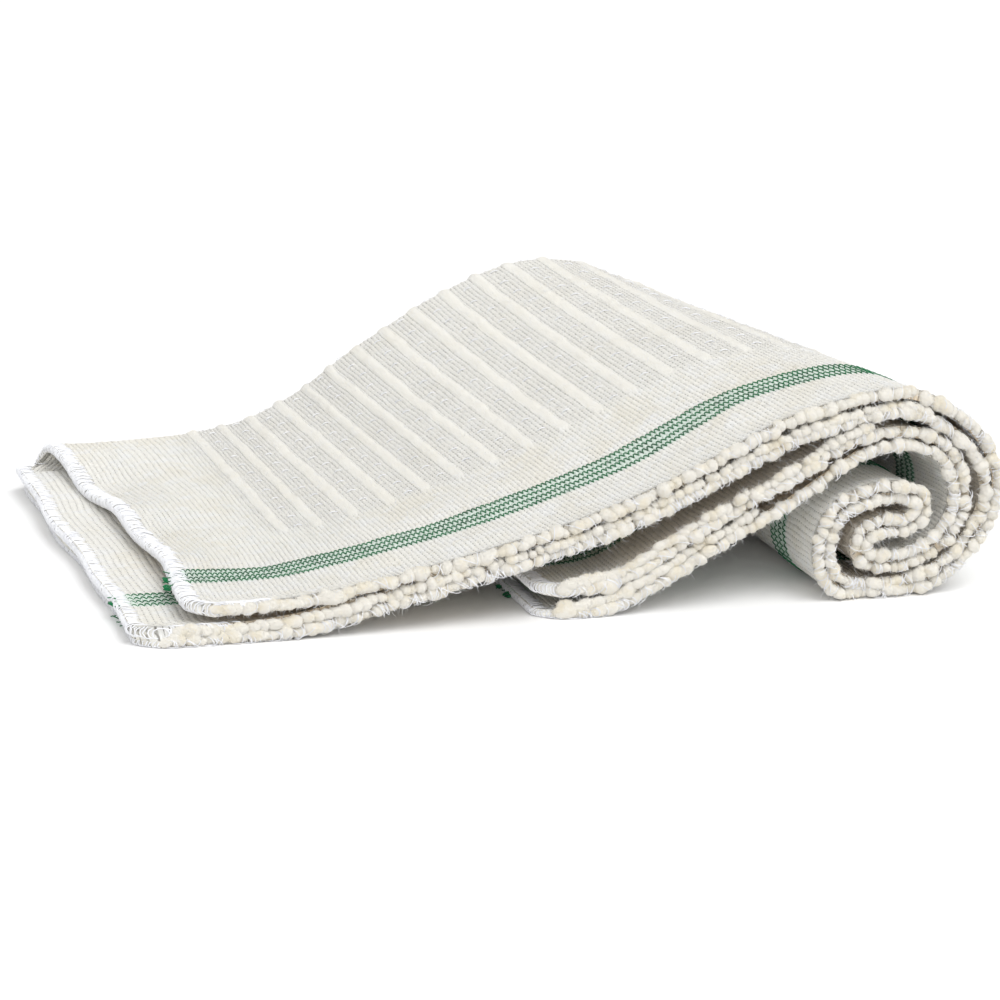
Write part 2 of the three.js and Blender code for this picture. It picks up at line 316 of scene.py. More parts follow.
def grid_faces(count_rows, count_columns, start=0, turned=False):
    """Quads over a grid of points, or the same quads turned to face the other way."""
    i, j = np.meshgrid(np.arange(count_rows - 1), np.arange(count_columns - 1), indexing="ij")
    a = start + i * count_columns + j
    quads = np.stack([a, a + count_columns, a + count_columns + 1, a + 1], axis=-1).reshape(-1, 4)
    return quads[:, ::-1] if turned else quads


def rim_faces(fine, coarse):
    """Triangles between a fine edge and one with half as many points."""
    faces = []
    for k in range(len(coarse) - 1):
        a, b, c = fine[2 * k:2 * k + 3]
        d, e = coarse[k:k + 2]
        faces += [(d, b, a), (d, e, b), (e, c, b)]
    return faces


def new_piece(name, points, faces, material):
    """A smooth mesh object from points in metres."""
    mesh = bpy.data.meshes.new(name)
    mesh.from_pydata(points.reshape(-1, 3).tolist(), [], faces)
    mesh.materials.append(material)
    mesh.shade_smooth()
    piece = bpy.data.objects.new(name, mesh)
    bpy.context.collection.objects.link(piece)
    return piece


def tone(red, green, blue):
    """A display colour, 0 to 255, as linear light."""
    parts = [c / 255 for c in (red, green, blue)]
    return tuple([((c + 0.055) / 1.055) ** 2.4 if c > 0.04045 else c / 12.92 for c in parts] + [1.0])


class Nodes:
    """Short words for the nodes of one material."""

    def __init__(self, name, roughness, sheen):
        self.material = bpy.data.materials.new(name)
        self.material.use_nodes = True
        self.tree = self.material.node_tree
        self.shader = self.tree.nodes["Principled BSDF"]
        self.shader.inputs["Roughness"].default_value = roughness
        self.shader.inputs["Specular IOR Level"].default_value = 0.2
        self.shader.inputs["Sheen Weight"].default_value = sheen
        self.shader.inputs["Sheen Roughness"].default_value = 0.5

    def put(self, socket, value):
        if hasattr(value, "is_output"):
            self.tree.links.new(value, socket)
        else:
            socket.default_value = value

    def math(self, work, a, b=0.0):
        node = self.tree.nodes.new("ShaderNodeMath")
        node.operation = work
        self.put(node.inputs[0], a)
        self.put(node.inputs[1], b)
        return node.outputs[0]

    def blend(self, share, a, b):
        node = self.tree.nodes.new("ShaderNodeMix")
        node.data_type = "RGBA"
        self.put(node.inputs[0], share)
        self.put(node.inputs[6], a)
        self.put(node.inputs[7], b)
        return node.outputs[2]

    def noise(self, scale, detail=3.0, rough=0.55, place=None):
        place = place or self.tree.nodes.new("ShaderNodeTexCoord").outputs["Object"]
        node = self.tree.nodes.new("ShaderNodeTexNoise")
        node.inputs["Scale"].default_value = scale
        node.inputs["Detail"].default_value = detail
        node.inputs["Roughness"].default_value = rough
        self.tree.links.new(place, node.inputs["Vector"])
        return node.outputs["Fac"]

    def between(self, value, low, high, to_low=0.0, to_high=1.0):
        node = self.tree.nodes.new("ShaderNodeMapRange")
        node.interpolation_type = "SMOOTHSTEP"
        for socket, number in zip(node.inputs, (value, low, high, to_low, to_high)):
            self.put(socket, number)
        return node.outputs[0]

    def attribute(self, name):
        node = self.tree.nodes.new("ShaderNodeAttribute")
        node.attribute_name = name
        return node.outputs["Fac"]

    def bump(self, height, distance, strength=1.0, under=None):
        node = self.tree.nodes.new("ShaderNodeBump")
        node.inputs["Strength"].default_value = strength
        node.inputs["Distance"].default_value = distance
        self.tree.links.new(height, node.inputs["Height"])
        if under is not None:
            self.tree.links.new(under, node.inputs["Normal"])
        return node.outputs["Normal"]

    def finish(self, colour, normal):
        self.tree.links.new(colour, self.shader.inputs["Base Color"])
        self.tree.links.new(normal, self.shader.inputs["Normal"])
        return self.material


CREAM = tone(244, 242, 235)
WARM_CREAM = tone(238, 233, 219)
RIB_CREAM = tone(236, 233, 224)
COOL_CREAM = tone(245, 245, 243)
# painted shade that greys the open weave
OPEN_WEAVE_SHADE = tone(238, 236, 230)
# painted shade for the hollows between the picks
PICK_GAP_SHADE = tone(96, 91, 80)
# painted warm tan shade for faces hidden between the layers and under the lower layer
HIDDEN_SHADE_TAN = tone(206, 180, 138)
STRIPE_TINT = tone(222, 240, 228)
STRIPE = (31.0, 47.0)              # the green stripe lies this far in from each selvedge


def woven_cotton():
    """Undyed plain weave: round picks, painted shade in dotted lines between them, flecks and a pale green
    stripe.
    """
    n = Nodes("woven_cotton", 0.95, 0.25)
    uv = n.tree.nodes.new("ShaderNodeUVMap")
    uv.uv_map = "cloth"
    parts = n.tree.nodes.new("ShaderNodeSeparateXYZ")
    n.tree.links.new(uv.outputs[0], parts.inputs[0])
    along, across = parts.outputs[0], parts.outputs[1]
    # picks and warp threads, a little uneven, counted along and across the cloth
    wobble = n.math("MULTIPLY", n.math("SUBTRACT", n.noise(70), 0.5), 0.7)
    picks = n.math("ADD", n.math("DIVIDE", along, PICK * MM), wobble)
    ridge = n.math("ABSOLUTE", n.math("SINE", n.math("MULTIPLY", picks, math.pi)))
    warps = n.math("ADD", n.math("DIVIDE", across, WARP * MM), n.math("MULTIPLY", n.noise(160), 0.9))
    hole = n.math("ABSOLUTE", n.math("COSINE", n.math("MULTIPLY", warps, math.pi)))
    over = n.math("COSINE", n.math("MULTIPLY", n.math("ADD", warps, n.math("FLOOR", picks)), math.pi))
    open_share, rib = n.attribute("open_weave"), n.attribute("rib")
    off_rib = n.between(rib, 0.1, 0.5, 1, 0)
    # round picks with holes between the warp threads, then fibres along the yarn and fine fuzz
    height = n.math("MULTIPLY", ridge, n.math("ADD", 0.8, n.math("MULTIPLY", over, 0.2)))
    height = n.math("MULTIPLY", height, n.between(hole, 0, 0.6, n.between(open_share, 0, 1, 0.8, 0.15), 1))
    normal = n.bump(n.math("MULTIPLY", height, off_rib), 0.0008, 0.8)
    stretched = n.tree.nodes.new("ShaderNodeCombineXYZ")
    n.put(stretched.inputs[0], n.math("MULTIPLY", along, 5.0))
    n.put(stretched.inputs[1], across)
    fibrous = n.noise(420, 4.0, 0.7, stretched.outputs[0])
    normal = n.bump(fibrous, 0.0009, 0.6, normal)
    normal = n.bump(n.noise(900, 4.0, 0.7), 0.0008, 0.6, normal)
    # painted shade in the hollows between the picks, as dark dotted lines, stronger where the weave is open
    line = n.between(ridge, 0.08, n.between(open_share, 0, 1, 0.4, 0.55), 1, 0)
    dot = n.between(hole, 0.2, 0.65, 1, n.between(open_share, 0, 1, 0.12, 0.1))
    patchy = n.between(n.noise(300, 3.0), 0.34, 0.56, 0.25, 1)
    depth = n.math("MULTIPLY", n.math("MULTIPLY", line, dot), patchy)
    depth = n.math("MULTIPLY", depth, n.between(open_share, 0, 1, 0.8, 1.0))
    depth = n.math("MULTIPLY", depth, off_rib)
    # cream in warm and cool patches, greyer as painted shade where the weave is open, and painted warm tan
    # shade where the cloth is hidden
    colour = n.blend(n.between(n.noise(30), 0.45, 0.7, 0, 0.6), CREAM, WARM_CREAM)
    colour = n.blend(n.between(n.noise(110), 0.45, 0.7, 0, 0.8), colour, COOL_CREAM)
    colour = n.blend(n.math("MULTIPLY", n.between(n.noise(330, 2.0), 0.55, 0.75), 0.7), colour, WARM_CREAM)
    # painted shade greys the open weave
    colour = n.blend(n.math("MULTIPLY", open_share, 0.6), colour, OPEN_WEAVE_SHADE)
    colour = n.blend(n.math("MULTIPLY", rib, 0.7), colour, RIB_CREAM)
    to_edge = n.math("MINIMUM", across, n.math("SUBTRACT", WIDTH * MM, across))
    stripe = n.math("MULTIPLY", n.between(to_edge, (STRIPE[0] - 1) * MM, (STRIPE[0] + 1) * MM),
                    n.between(to_edge, (STRIPE[1] - 1) * MM, (STRIPE[1] + 1) * MM, 1, 0))
    colour = n.blend(n.math("MULTIPLY", stripe, 0.8), colour, STRIPE_TINT)
    # painted warm tan shade on the hidden faces
    colour = n.blend(n.math("MULTIPLY", n.attribute("hidden_shade"), 0.8), colour, HIDDEN_SHADE_TAN)
    # painted shade in the hollows between the picks
    colour = n.blend(depth, colour, PICK_GAP_SHADE)
    return n.finish(colour, normal)


panel_points = np.concatenate([outer.reshape(-1, 3), back.reshape(-1, 3)])
outer_count = outer[..., 0].size
outer_at = np.arange(outer_count).reshape(outer.shape[:2])
back_at = outer_count + np.arange(back[..., 0].size).reshape(back.shape[:2])
panel_faces = grid_faces(*outer_at.shape).tolist()
panel_faces += grid_faces(*back_at.shape, outer_count, True).tolist()
panel_faces += rim_faces(outer_at[0].tolist(), back_at[0].tolist())
panel_faces += rim_faces(outer_at[-1, ::-1].tolist(), back_at[-1, ::-1].tolist())
panel_faces += rim_faces(outer_at[::-1, 0].tolist(), back_at[::-1, 0].tolist())
panel_faces += rim_faces(outer_at[:, -1].tolist(), back_at[:, -1].tolist())
cotton = woven_cotton()
panel = new_piece("woven_panel", panel_points, panel_faces, cotton)
cloth_places = np.stack([S, Q], axis=-1)
cloth_uv = np.concatenate([cloth_places.reshape(-1, 2), cloth_places[::2, ::2].reshape(-1, 2)])
layer = panel.data.uv_layers.new(name="cloth")
corner_points = np.empty(len(panel.data.loops), int)
panel.data.loops.foreach_get("vertex_index", corner_points)
layer.data.foreach_set("uv", (cloth_uv[corner_points] * MM).ravel())

# Painted warm tan shade on the hidden faces, between the two layers and on the lower layer's underside:
# where it begins between the layers and on the underside, the underside's share, and how far before the
# second end it begins and ends to fade
SHADE_IN_FOLD, SHADE_UNDER, UNDER_SHADE_SHARE = (14.0, 40.0), (60.0, 100.0), 0.5
SHADE_FADE = (60.0, 20.0)
kept_shade = 1 - smooth_step(S, LENGTH - SHADE_FADE[0], LENGTH - SHADE_FADE[1])
fold_shade_share = smooth_step(S, *SHADE_IN_FOLD) * kept_shade
under_shade_share = UNDER_SHADE_SHARE * smooth_step(S, *SHADE_UNDER) * (Q > HALF_WIDTH + FOLD) * kept_shade
# shares at each point: open weave, rib, and painted tan shade on the hidden faces
for name, on_outer, on_inner in (("open_weave", openness, openness), ("rib", rib_share, 0 * rib_share),
                                 ("hidden_shade", under_shade_share, fold_shade_share)):
    share = panel.data.attributes.new(name, "FLOAT", "POINT")
    share.data.foreach_set("value", np.concatenate([on_outer.ravel(), on_inner[::2, ::2].ravel()]))
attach(panel, "root")
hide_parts("floor_cloth")

# Selvedge loops
# Along both selvedges the soft weft yarn turns back in fat cotton loops, which stand out past the edge like
# a row of beads. The lower selvedge's left part, which lies doubled, and the second end show a second row.
LOOP_PITCH = 3.5
LOOP_SIZE = (3.0, 3.2, 2.8)        # half sizes along, out of and across the edge
LOOP_OUT = 0.7                     # the loops' middles lie this far past the edge
LOOP_STRAY = {"along": 0.7, "up": 0.4, "out": 0.6}
LOOP_LUMP = 0.2
EDGES = {"upper": (0.0, -1.0), "lower": (WIDTH, 1.0)}     # place across, and the sign of outwards

# edge, from and to along the selvedge, lift along the outward normal at both, size
LOOP_ROWS = [
    ("upper", 0, LENGTH, 0.0, 0.0, 1.0),
    ("lower", 0, LENGTH, 0.0, 0.0, 1.0),
    ("lower", 4, 120, -5.6, -4.0, 1.0),
    ("lower", 120, 330, -3.8, -2.4, 0.85),
    ("upper", 760, LENGTH, -4.2, -4.6, 0.95),
    ("lower", 700, LENGTH, 3.6, 3.4, 0.9),
]


def soft_yarn(name, main, second, bump):
    """Soft yarn in two close tones, with a fibrous, matt surface."""
    n = Nodes(name, 0.95, 0.35)
    colour = n.blend(n.between(n.noise(120), 0.45, 0.7), main, second)
    normal = n.bump(n.noise(650, 5.0, 0.75), 0.002, bump)
    return n.finish(colour, normal)


def ball():
    """One loop's round form, as points and faces."""
    bpy.ops.object.select_all(action="DESELECT")
    bpy.ops.mesh.primitive_ico_sphere_add(subdivisions=2, radius=1)
    start = bpy.context.object
    points = np.array([v.co[:] for v in start.data.vertices])
    faces = np.array([f.vertices[:] for f in start.data.polygons])
    bpy.data.objects.remove(start)
    return points, faces


def loop_row(edge, first, last, lift_first, lift_last, size):
    """Points of one row of loops, each its own lumpy ball."""
    place, sign = EDGES[edge]
    s = np.arange(first, last, LOOP_PITCH * size ** 0.5)
    s = np.clip(s + dice.normal(0, LOOP_STRAY["along"], len(s)), 0.5, LENGTH - 0.5)
    at, up, along, across = cloth_frame(s, np.full(len(s), place))
    lift = np.interp(s, [first, last], [lift_first, lift_last])
    lift = lift + dice.normal(0, LOOP_STRAY["up"], len(s))
    out = LOOP_OUT + dice.normal(0, LOOP_STRAY["out"], len(s))
    at = at + MM * (up * lift[:, None] + across * (sign * out)[:, None])
    swell = size * dice.uniform(0.75, 1.15, (len(s), 1, 1)) * dice.uniform(0.85, 1.15, (len(s), 1, 3))
    lobes = unit(dice.normal(0, 1, (len(s), 4, 3)))
    waves = np.cos(3.2 * np.einsum("nlk,pk->npl", lobes, BALL))
    lumps = 1 + LOOP_LUMP * waves.mean(axis=-1, keepdims=True)
    lumps = lumps + dice.normal(0, 0.03, (len(s), len(BALL), 1))
    axes = np.stack([along, across, up], axis=1)
    points = at[:, None] + MM * np.einsum("npk,nkx->npx", BALL * swell * LOOP_SIZE * lumps, axes)
    low = points[..., 2].min(axis=1)
    points[..., 2] += np.maximum(0, MM * FLOOR_GAP - low)[:, None]
    return points


BALL, BALL_FACES = ball()
loop_yarn = soft_yarn("loop_yarn", tone(252, 248, 238), tone(248, 240, 220), 0.9)
loop_points = np.concatenate([loop_row(*row) for row in LOOP_ROWS])
loop_faces = BALL_FACES[None] + (np.arange(len(loop_points)) * len(BALL))[:, None, None]
loops = new_piece("selvedge_loops", loop_points, loop_faces.reshape(-1, 3).tolist(), loop_yarn)
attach(loops, "root")

# Loop fluff
# Loosely spun cotton is fluffy all over its surface. Fine short hairs stand out of every loop, held in its
# yarn at one end, each made here as a narrow tapered strip with one bend.
FLUFF = 55000                      # how many hairs
FLUFF_WIDTH = 0.13
FLUFF_LENGTH = (0.6, 1.9)
FLUFF_BEND = 0.55                  # share of a hair's length up to its bend
fluff_yarn = soft_yarn("fluff_yarn", tone(251, 248, 240), tone(247, 241, 227), 0.0)
ball_at = dice.integers(0, len(loop_points), FLUFF)
corners = BALL_FACES[dice.integers(0, len(BALL_FACES), FLUFF)]
share = dice.dirichlet((1, 1, 1), FLUFF)
root = np.einsum("nk,nkx->nx", share, loop_points[ball_at[:, None], corners])
grow = unit(unit(root - loop_points[ball_at].mean(axis=1)) + dice.normal(0, 0.55, (FLUFF, 3)))
sideways = unit(np.cross(grow, dice.normal(0, 1, (FLUFF, 3)))) * MM * FLUFF_WIDTH / 2
reach = MM * dice.uniform(*FLUFF_LENGTH, (FLUFF, 1))
bent = root + reach * FLUFF_BEND * grow
tip = root + reach * unit(grow + dice.normal(0, 0.4, (FLUFF, 3)))
narrower = 0.8 * sideways
hairs = np.stack([root - sideways, root + sideways, bent + narrower, bent - narrower, tip], axis=1)
hairs[..., 2] = np.maximum(hairs[..., 2], MM * FLOOR_GAP)
first = 5 * np.arange(FLUFF)[:, None]
hair_faces = (first + [0, 1, 2, 3]).tolist() + (first + [3, 2, 4]).tolist()
loop_fluff = new_piece("loop_fluff", hairs, hair_faces, fluff_yarn)
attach(loop_fluff, "root")

# Green stripes
# Four green dyed cotton warp threads are woven in along each border. Each bows round every pick, so the
# stripe looks like rows of scallops, open as a net. At the cut ends they stick out as short frayed tails.
STRIPE_THREADS = 4
STRIPE_RADIUS = 0.26
STRIPE_BASE = SHEET / 2 + 0.1      # height of a thread in the hollow between two picks
STRIPE_SWING = 0.3                 # and how much higher it lies on a pick
SCALLOP = 2.3                      # how far a thread bows away from the selvedge
STRIPE_WANDER = 0.3
TAIL = 5.0                         # length of a tail, which starts a little past the cloth's end
TAIL_START = 0.4
TAIL_POINTS = 6
TAIL_LIFT = 1.0                    # least height of a tail over the floor


def tubes(paths, reference, radius, sides=5, taper=None):
    """Closed round threads along paths, an array of threads by points by xyz, with end caps."""
    count, steps = paths.shape[:2]
    way = unit(np.gradient(paths, axis=1))
    right = unit(np.cross(way, reference))
    top = np.cross(right, way)
    turn = 2 * math.pi * np.arange(sides) / sides
    ring = right[:, :, None] * np.cos(turn)[:, None] + top[:, :, None] * np.sin(turn)[:, None]
    thick = radius * MM * (np.ones(steps) if taper is None else taper)
    points = paths[:, :, None] + ring * thick[None, :, None, None]
    first = (np.arange(count) * steps * sides)[:, None, None]
    row = (np.arange(steps - 1) * sides)[None, :, None]
    k = np.arange(sides)
    after = (k + 1) % sides
    start = first + row
    walls = np.stack([start + k, start + after, start + sides + after, start + sides + k], axis=-1)
    faces = walls.reshape(-1, 4).tolist()
    ends = first[:, 0, 0]
    last = (steps - 1) * sides
    faces += [[e + j for j in reversed(range(sides))] for e in ends.tolist()]
    faces += [[e + last + j for j in range(sides)] for e in ends.tolist()]
    return points.reshape(-1, 3), faces


def stripe_paths(edge, face, last):
    """The green threads of one border on its outer (1) or inner (-1) face, with their tails."""
    place, sign = EDGES[edge]
    s = np.arange(0, last, PICK / 5)
    paths, ups = [], []
    for j in range(STRIPE_THREADS):
        inset = STRIPE[0] + (STRIPE[1] - STRIPE[0] - SCALLOP) * j / (STRIPE_THREADS - 1)
        bow = np.abs(np.sin(np.pi * s / PICK)) ** 0.8
        bowed = SCALLOP * (1 + 0.25 * uneven(s, 25.0 * j, 9))
        q = place - sign * (inset + STRIPE_WANDER * uneven(s, 40.0 * j, 30) + bowed * bow)
        at, up, along, across = cloth_frame(s, q)
        over_face = STRIPE_BASE + STRIPE_SWING * bow
        if face < 0:
            over_face = over_face + doubled(s, q)
        path = at + up * (MM * (face * over_face + lie_shift(s, q)))[:, None]
        path[:, 2] = np.maximum(path[:, 2], MM * (FLOOR_GAP + STRIPE_RADIUS))
        tail_way = unit(-along[0] + across[0] * dice.normal(0, 0.5) + up[0] * dice.normal(0, 0.3))
        reach = np.linspace(TAIL * dice.uniform(0.5, 1.1), TAIL_START, TAIL_POINTS)
        tail = path[0] + tail_way * MM * reach[:, None]
        tail[:, 2] = np.maximum(tail[:, 2], MM * TAIL_LIFT)
        end_way = unit(along[-1] + across[-1] * dice.normal(0, 0.5))
        reach = np.linspace(TAIL_START, TAIL * dice.uniform(0.4, 1.0), TAIL_POINTS)
        end = path[-1] + end_way * MM * reach[:, None]
        end[:, 2] = np.maximum(end[:, 2], MM * TAIL_LIFT)
        paths.append(np.concatenate([tail, path, end]))
        tail_up, end_up = np.repeat(up[:1], TAIL_POINTS, 0), np.repeat(up[-1:], TAIL_POINTS, 0)
        ups.append(np.concatenate([tail_up, up, end_up]))
    return np.array(paths), np.array(ups)


green_yarn = soft_yarn("green_yarn", tone(4, 112, 64), tone(0, 84, 48), 0.4)
# name, edge, face and how far along the cloth it runs
STRIPES = [
    ("upper", "upper", 1, LENGTH),
    ("lower", "lower", 1, LENGTH),
    ("lower_inside", "lower", -1, 150.0),
]
for name, edge, face, last in STRIPES:
    paths, ups = stripe_paths(edge, face, last)
    points, faces = tubes(paths, ups, STRIPE_RADIUS)
    stripe = new_piece(f"green_stripe_{name}", points, faces, green_yarn)
    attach(stripe, "root")

# Green tufts
# The green threads' tails fray beyond the overlock, where nothing holds their fibres. Each frayed end is a
# small ragged tuft of the same dyed cotton.
# edge, end of the cloth (0 left, 1 second), how many
TUFTS = [("upper", 0, 4), ("lower", 0, 3), ("upper", 1, 3), ("lower", 1, 3)]
TUFT_SIZE = (2.0, 1.0, 0.9)        # half sizes along, across and through a tuft
TUFT_OUT = (1.5, 3.6)              # how far its middle lies past the cut end
TUFT_RAGGED = (0.75, 1.2)
tuft_points = []
for edge, end, count in TUFTS:
    place, sign = EDGES[edge]
    s = np.full(count, LENGTH * end)
    q = place - sign * dice.uniform(STRIPE[0] - 2, STRIPE[1] + 1, count)
    at, up, along, across = cloth_frame(s, q)
    out = along * (1 if end else -1)
    way = unit(out + across * dice.normal(0, 0.5, (count, 1)) + up * dice.normal(0, 0.3, (count, 1)))
    at = at + MM * (out * dice.uniform(*TUFT_OUT, (count, 1)) - up * doubled(s, q)[:, None])
    flat = unit(np.cross(way, up))
    axes = np.stack([way, flat, np.cross(flat, way)], axis=1)
    form = BALL * TUFT_SIZE * dice.uniform(*TUFT_RAGGED, (count, len(BALL), 1))
    tuft_points.append(at[:, None] + MM * np.einsum("npk,nkx->npx", form, axes))
tuft_points = np.concatenate(tuft_points)
tuft_points[..., 2] = np.maximum(tuft_points[..., 2], MM * FLOOR_GAP)
tuft_faces = BALL_FACES[None] + (np.arange(len(tuft_points)) * len(BALL))[:, None, None]
tufts = new_piece("green_tufts", tuft_points, tuft_faces.reshape(-1, 3).tolist(), green_yarn)
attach(tufts, "root")

# Overlocked cut ends
# Each cut end is bound with white sewing thread, wrapped over the edge in close slanting stitches, and the
# sewing runs on round each corner for a little way along the selvedge.
STITCH_PITCH = 0.95
STITCH_RADIUS = 0.32
STITCH_SLANT = 1.3
STITCH_RAGGED = 0.3
CORNER_RUN = (1.5, 30.0)           # from and to, along the selvedge from the corner
# way in from the edge and height over the middle, round the edge from the upper to the under side
STITCH_ROUND = np.array([
    (6.2, 1.6), (4.6, 2.2), (2.6, 2.6), (0.6, 2.3), (-0.7, 1.3),
    (-1.0, 0.0), (-0.7, -1.3), (0.8, -2.3), (3.0, -2.2), (5.4, -1.7),
])


def stitches(at, up, inward, edge_way):
    """Stitches round an edge, given its points, normals, inward ways and the way along the edge."""
    count = len(at)
    ragged = dice.normal(0, STITCH_RAGGED, (count, len(STITCH_ROUND)))
    into = STITCH_ROUND[:, 0] * dice.uniform(0.75, 1.2, (count, 1))
    height = STITCH_ROUND[:, 1] * dice.uniform(0.85, 1.12, (count, 1))
    slant = np.linspace(-0.5, 0.5, len(STITCH_ROUND)) * STITCH_SLANT + ragged
    paths = at[:, None] + MM * (inward[:, None] * into[..., None] + up[:, None] * height[..., None]
                                + edge_way[:, None] * slant[..., None])
    paths[..., 2] = np.maximum(paths[..., 2], MM * (FLOOR_GAP + STITCH_RADIUS))
    return paths, np.broadcast_to(edge_way[:, None], paths.shape)


def edge_run(s, place, sign, lift=0.0):
    """Stitches along a stretch of a selvedge."""
    at, up, along, across = cloth_frame(s, np.full(len(s), place))
    return stitches(at + up * (MM * lift), up, -sign * across, along)


def end_stitches(s_end, inward_sign):
    """All the stitches of one cut end: across the cloth, then round both corners."""
    q = np.arange(0, WIDTH, STITCH_PITCH)
    s = np.full(len(q), s_end)
    at, up, along, across = cloth_frame(s, q)
    added = doubled(s, q)
    past_end = DOUBLED["past"] * added / DOUBLED["fold"]
    sewn = at + MM * (up * (lie_shift(s, q) - added)[:, None] - along * past_end[:, None])
    parts = [stitches(sewn, up, along * inward_sign, across)]
    twice = added > 0.8 * DOUBLED["selvedge"]
    if twice.any():
        parts.append(stitches(at[twice], up[twice], along[twice] * inward_sign, across[twice]))
    corner = s_end + inward_sign * np.arange(*CORNER_RUN, STITCH_PITCH)
    for place, sign in EDGES.values():
        lift = -doubled(corner, np.full(len(corner), place))[:, None]
        parts.append(edge_run(corner, place, sign, lift))
    return [np.concatenate(group) for group in zip(*parts)]


sewing_thread = soft_yarn("sewing_thread", tone(247, 248, 251), tone(240, 241, 246), 0.3)
for name, s_end, inward_sign in (("left", 0.0, 1.0), ("second", LENGTH, -1.0)):
    paths, ways = end_stitches(s_end, inward_sign)
    points, faces = tubes(paths, ways, STITCH_RADIUS, 4)
    overlock = new_piece(f"overlock_{name}_end", points, faces, sewing_thread)
    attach(overlock, "root")

# Overlock on the roll
# On the roll's right side the same white sewing thread shows along the upper selvedge. It wraps the edge in
# the same slanting stitches.
ROLL_RUN = (338.0, 440.0)          # from and to along the selvedge
roll_run = np.arange(*ROLL_RUN, STITCH_PITCH)
points, faces = tubes(*edge_run(roll_run, *EDGES["upper"]), STITCH_RADIUS)
roll_sewing = new_piece("overlock_roll_side", points, faces, sewing_thread)
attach(roll_sewing, "root")

# Selvedge threads
# Fine white cotton threads lie in short arcs over the loops, caught between them at both ends. They are
# many along the lower selvedge and round the roll, and few along the upper selvedge before it.
# edge, from and to along it, how many
THREAD_RUNS = [
    ("lower", 0, 330, 190),
    ("upper", 330, LENGTH, 160),
    ("lower", 330, LENGTH, 160),
    ("upper", 10, 330, 40),
]
THREAD_RADIUS = 0.17
THREAD_ROUND = np.radians(np.linspace(-75, 85, 8))     # angles round a loop, from below to above
THREAD_SLANT = 4.0
THREAD_CLEAR = (-0.2, 0.9)         # how far a thread stands off the loops
THREAD_LIFT = (0.8, 1.15)
thread_paths, thread_ups = [], []
for edge, first, last, count in THREAD_RUNS:
    place, sign = EDGES[edge]
    from_s = dice.uniform(first, last, (count, 1))
    s = from_s + dice.normal(0, THREAD_SLANT, (count, 1)) * np.linspace(-0.5, 0.5, len(THREAD_ROUND))
    at, up, along, across = cloth_frame(np.clip(s, 1, LENGTH - 1), np.full(s.shape, place))
    out = LOOP_OUT + (LOOP_SIZE[1] + dice.uniform(*THREAD_CLEAR, (count, 1))) * np.cos(THREAD_ROUND)
    lift = LOOP_SIZE[2] * dice.uniform(*THREAD_LIFT, (count, 1)) * np.sin(THREAD_ROUND)
    path = at + MM * (across * (sign * out)[..., None] + up * lift[..., None])
    path[..., 2] = np.maximum(path[..., 2], MM * (FLOOR_GAP + THREAD_RADIUS))
    thread_paths.append(path)
    thread_ups.append(along)
points, faces = tubes(np.concatenate(thread_paths), np.concatenate(thread_ups), THREAD_RADIUS, 4)
selvedge_threads = new_piece("selvedge_threads", points, faces, sewing_thread)
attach(selvedge_threads, "root")

# Warp floats
# Between the ribs a thin white cotton warp thread floats over a few picks here and there. It shows as a
# short bright stitch, and dips back into the weave at both ends.
FLOAT_EVERY = 6 * WARP
FLOAT_LENGTH = 4.4
FLOAT_RADIUS = 0.24
FLOAT_RISE = 0.55                  # height of its middle over the face, and how far its ends dip
FLOAT_DIP = 0.8
FLOAT_INSET = 6.0
float_s, float_q = np.meshgrid(np.arange(HEADER + RIB_PITCH / 2, FINE_END, RIB_PITCH),
                               np.arange(BORDER + FLOAT_INSET, WIDTH - BORDER - FLOAT_INSET, FLOAT_EVERY),
                               indexing="ij")
float_q = (float_q + 2 * WARP * (np.arange(len(float_s)) % 3)[:, None]).ravel()
float_s = float_s.ravel() + dice.normal(0, 0.9, float_q.size)
steps = np.linspace(-0.5, 0.5, 6)
run = float_s[:, None] + steps * FLOAT_LENGTH
over = np.repeat(float_q[:, None], len(steps), axis=1) + dice.normal(0, 0.25, (len(float_q), 1))
at, up, _, _ = cloth_frame(run, over)
height = SHEET / 2 + FLOAT_RISE - FLOAT_DIP * (2 * steps) ** 2 + lie_shift(run, over)
points, faces = tubes(at + up * (MM * height)[..., None], up, FLOAT_RADIUS)
floats = new_piece("warp_floats", points, faces, sewing_thread)
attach(floats, "root")

# Loose fibres
# Fine cotton hairs that stand out of the loops, the ribs and the open face of the cloth. They are ends of
# the spun fibres, held in the yarn by its twist, and bend as they rise.
FIBRE_RADIUS = 0.075
EDGE_FIBRES = 4000
FACE_FIBRES = 4500
EDGE_HAIR = (1.4, 3.8)             # lengths
FACE_HAIR = (0.8, 2.6)
FIBRE_TAPER = np.array([1.0, 0.9, 0.7, 0.35])


def fibres(at, up, length):
    """Thin bent hairs rooted at the given points."""
    count = len(at)
    side = unit(np.cross(up, dice.normal(0, 1, (count, 3))))
    t = np.linspace(0, 1, len(FIBRE_TAPER))[None, :, None]
    bend = dice.uniform(0.3, 1.1, (count, 1, 1))
    curl = unit(dice.normal(0, 1, (count, 3)))[:, None] * 0.35
    paths = at[:, None] + MM * length[:, None, None] * (
        up[:, None] * t * (1 - 0.4 * bend * t) + side[:, None] * bend * t**2 + curl * t**2)
    paths[..., 2] = np.maximum(paths[..., 2], MM * FLOOR_GAP)
    reference = np.broadcast_to(np.cross(up, side)[:, None], paths.shape)
    return tubes(paths, reference, FIBRE_RADIUS, 3, FIBRE_TAPER)


def fibre_piece(name, at, up, lengths):
    """One piece of hairs with lengths in the given range."""
    points, faces = fibres(at, up, dice.uniform(*lengths, len(at)))
    piece = new_piece(name, points, faces, sewing_thread)
    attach(piece, "root")
    return piece


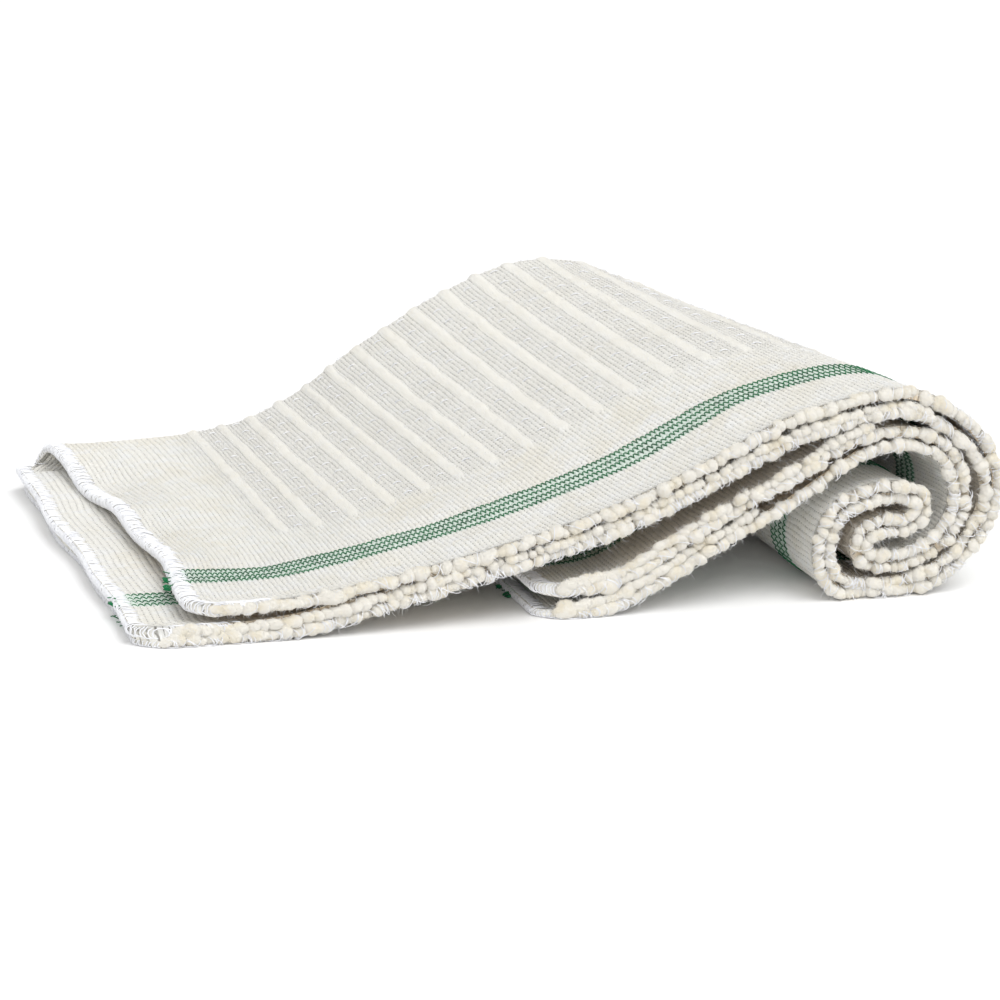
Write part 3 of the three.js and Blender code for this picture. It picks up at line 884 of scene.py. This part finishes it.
pick_ball = dice.integers(0, len(loop_points), EDGE_FIBRES)
pick_point = dice.integers(0, len(BALL), EDGE_FIBRES)
roots = loop_points[pick_ball, pick_point]
outwards = unit(roots - loop_points[pick_ball].mean(axis=1))
edge_fibres = fibre_piece("edge_fibres", roots, outwards, EDGE_HAIR)
face_s = dice.uniform(0, FINE_END, FACE_FIBRES)
face_q = dice.uniform(0, HALF_WIDTH + FOLD, FACE_FIBRES)
face_at, face_up, _, _ = cloth_frame(face_s, face_q)
face_at = face_at + face_up * (MM * (weave(face_s, face_q)[0] + lie_shift(face_s, face_q)))[:, None]
leaning = unit(face_up + dice.normal(0, 0.6, face_up.shape))
face_fibres = fibre_piece("face_fibres", face_at, leaning, FACE_HAIR)

# Floor, light and camera
# A plain white floor under soft, even studio light, seen from the photograph's angle.
FLOOR_SIZE = 60                    # metres
FLOOR_WHITE = (0.97, 0.97, 0.97, 1)
SKY_STRENGTH = 0.5
bpy.ops.mesh.primitive_plane_add(size=FLOOR_SIZE)
floor = bpy.context.object
floor.name = "floor"
floor_paint = bpy.data.materials.new("floor_paint")
floor_paint.use_nodes = True
floor_shader = floor_paint.node_tree.nodes["Principled BSDF"]
floor_shader.inputs["Base Color"].default_value = FLOOR_WHITE
floor_shader.inputs["Roughness"].default_value = 0.8
floor.data.materials.append(floor_paint)

world = bpy.data.worlds.new("studio")
bpy.context.scene.world = world
world.use_nodes = True
world.node_tree.nodes["Background"].inputs["Color"].default_value = (1, 1, 1, 1)
world.node_tree.nodes["Background"].inputs["Strength"].default_value = SKY_STRENGTH

LAMPS = [                          # place, aim, softness in degrees, strength
    ((0.35, -0.45, 1.0), (0.0, 0.0, 0.0), 40, 1.8),
    ((-0.4, -1.0, 0.85), (0.0, 0.0, 0.0), 60, 0.95),
]


def aim(thing, target):
    """Turn a lamp or the camera to look at a point."""
    way = np.array(target) - np.array(thing.location)
    tilt = math.acos(-way[2] / np.linalg.norm(way))
    thing.rotation_euler = (tilt, 0, math.atan2(way[1], way[0]) - math.pi / 2)


for number, (place, target, softness, strength) in enumerate(LAMPS):
    bpy.ops.object.light_add(type="SUN", location=place)
    lamp = bpy.context.object
    lamp.name = f"lamp_{number}"
    lamp.data.angle = math.radians(softness)
    lamp.data.energy = strength
    aim(lamp, target)

CAMERA_AT = (-0.28173, -1.25446, 0.38512)
CAMERA_WAY = (0.21624, 0.93663, -0.27564)
SENSOR, LENS = 36, 104.4           # millimetres
bpy.ops.object.camera_add(location=CAMERA_AT)
camera = bpy.context.object
camera.data.sensor_width = SENSOR
camera.data.lens = LENS
aim(camera, np.array(CAMERA_AT) + np.array(CAMERA_WAY))
bpy.context.scene.camera = camera
bpy.context.scene.view_settings.view_transform = "Standard"
